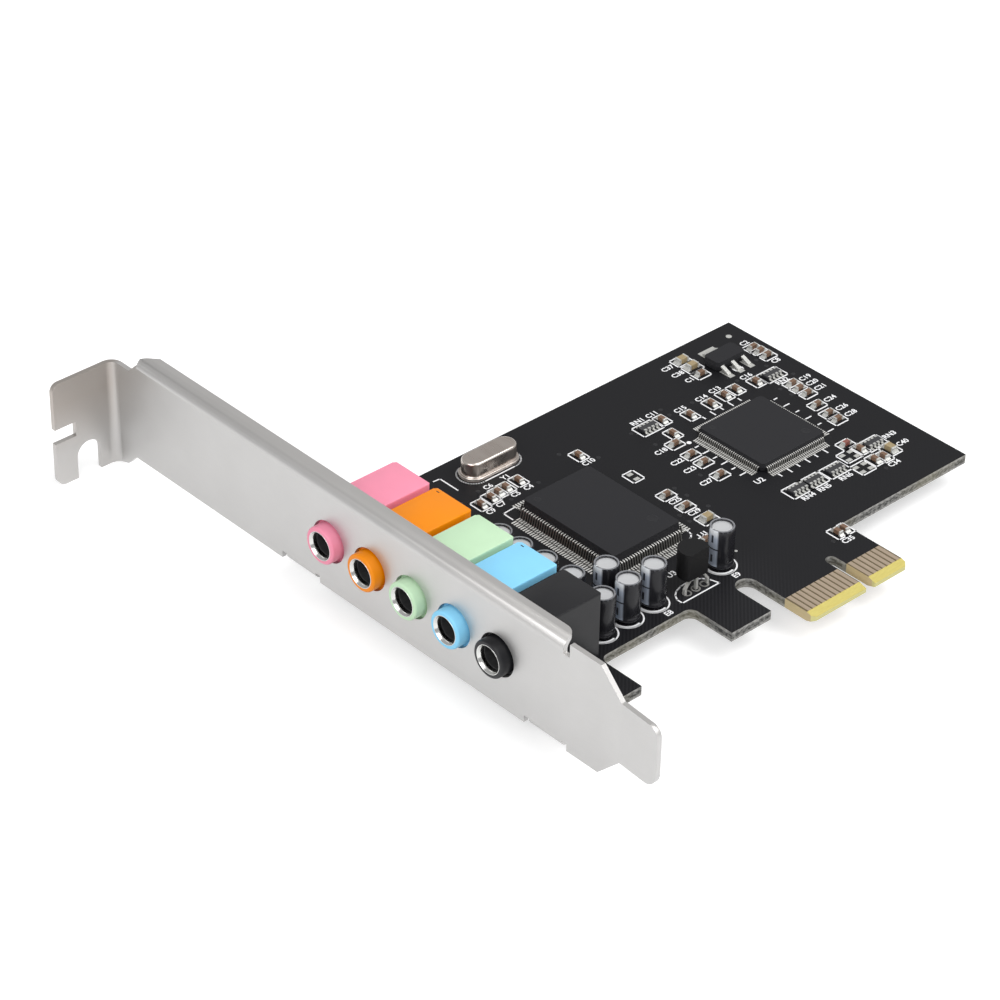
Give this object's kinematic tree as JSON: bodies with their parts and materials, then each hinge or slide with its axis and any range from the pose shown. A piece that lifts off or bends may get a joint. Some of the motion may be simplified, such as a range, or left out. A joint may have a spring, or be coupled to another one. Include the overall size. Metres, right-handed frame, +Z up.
{
  "type": "internal sound card",
  "caption": "Printed circuit board on a folded metal slot bracket, with a keyed edge connector and a row of coloured audio jacks, to give a computer sound inputs and outputs.",
  "frame": {"origin": "middle of the key slot, at the tip of the edge connector, on the component side of the board", "axes": "+X along the bracket, the way the card goes into its slot; +Y along the board away from the bracket; +Z up from the component side"},
  "size_m": [0.12, 0.1058, 0.0215],
  "materials": {
    "bracket_steel": "satin plated sheet",
    "screw_steel": "plated",
    "solder_mask": "black solder mask on glass-epoxy laminate",
    "contact_gold": "gold plate",
    "pink_plastic": "moulded",
    "orange_plastic": "moulded",
    "green_plastic": "moulded",
    "blue_plastic": "moulded",
    "black_plastic": "moulded",
    "chip_moulding": "matt epoxy moulding",
    "tinned_leads": "tin plate",
    "crystal_can": "drawn can",
    "capacitor_sleeve": "shrink sleeve",
    "brown_ceramic": "fired ceramic",
    "resistor_glaze": "glaze on ceramic"
  },
  "bodies": {
    "root": {"bracket": "bracket_steel", "bracket_screws": "screw_steel", "circuit_board": "solder_mask", "edge_contacts": "contact_gold", "pink_jack_housing": "pink_plastic", "orange_jack_housing": "orange_plastic", "green_jack_housing": "green_plastic", "blue_jack_housing": "blue_plastic", "black_jack_housing": "black_plastic", "audio_chip_body": "chip_moulding", "audio_chip_leads": "tinned_leads", "bridge_chip_body": "chip_moulding", "bridge_chip_leads": "tinned_leads", "crystal": "crystal_can", "capacitor_1": "capacitor_sleeve", "capacitor_2": "capacitor_sleeve", "capacitor_3": "capacitor_sleeve", "capacitor_4": "capacitor_sleeve", "capacitor_5": "capacitor_sleeve", "capacitor_6": "capacitor_sleeve", "capacitor_7": "capacitor_sleeve", "capacitor_8": "capacitor_sleeve", "capacitor_9": "capacitor_sleeve", "regulator_body": "chip_moulding", "regulator_legs": "tinned_leads", "power_regulator_body": "chip_moulding", "power_regulator_leads": "tinned_leads", "power_regulator_tab": "tinned_leads", "chip_capacitors": "brown_ceramic", "large_chip_capacitors": "brown_ceramic", "resistor_arrays": "resistor_glaze"}
  },
  "joints": []
}
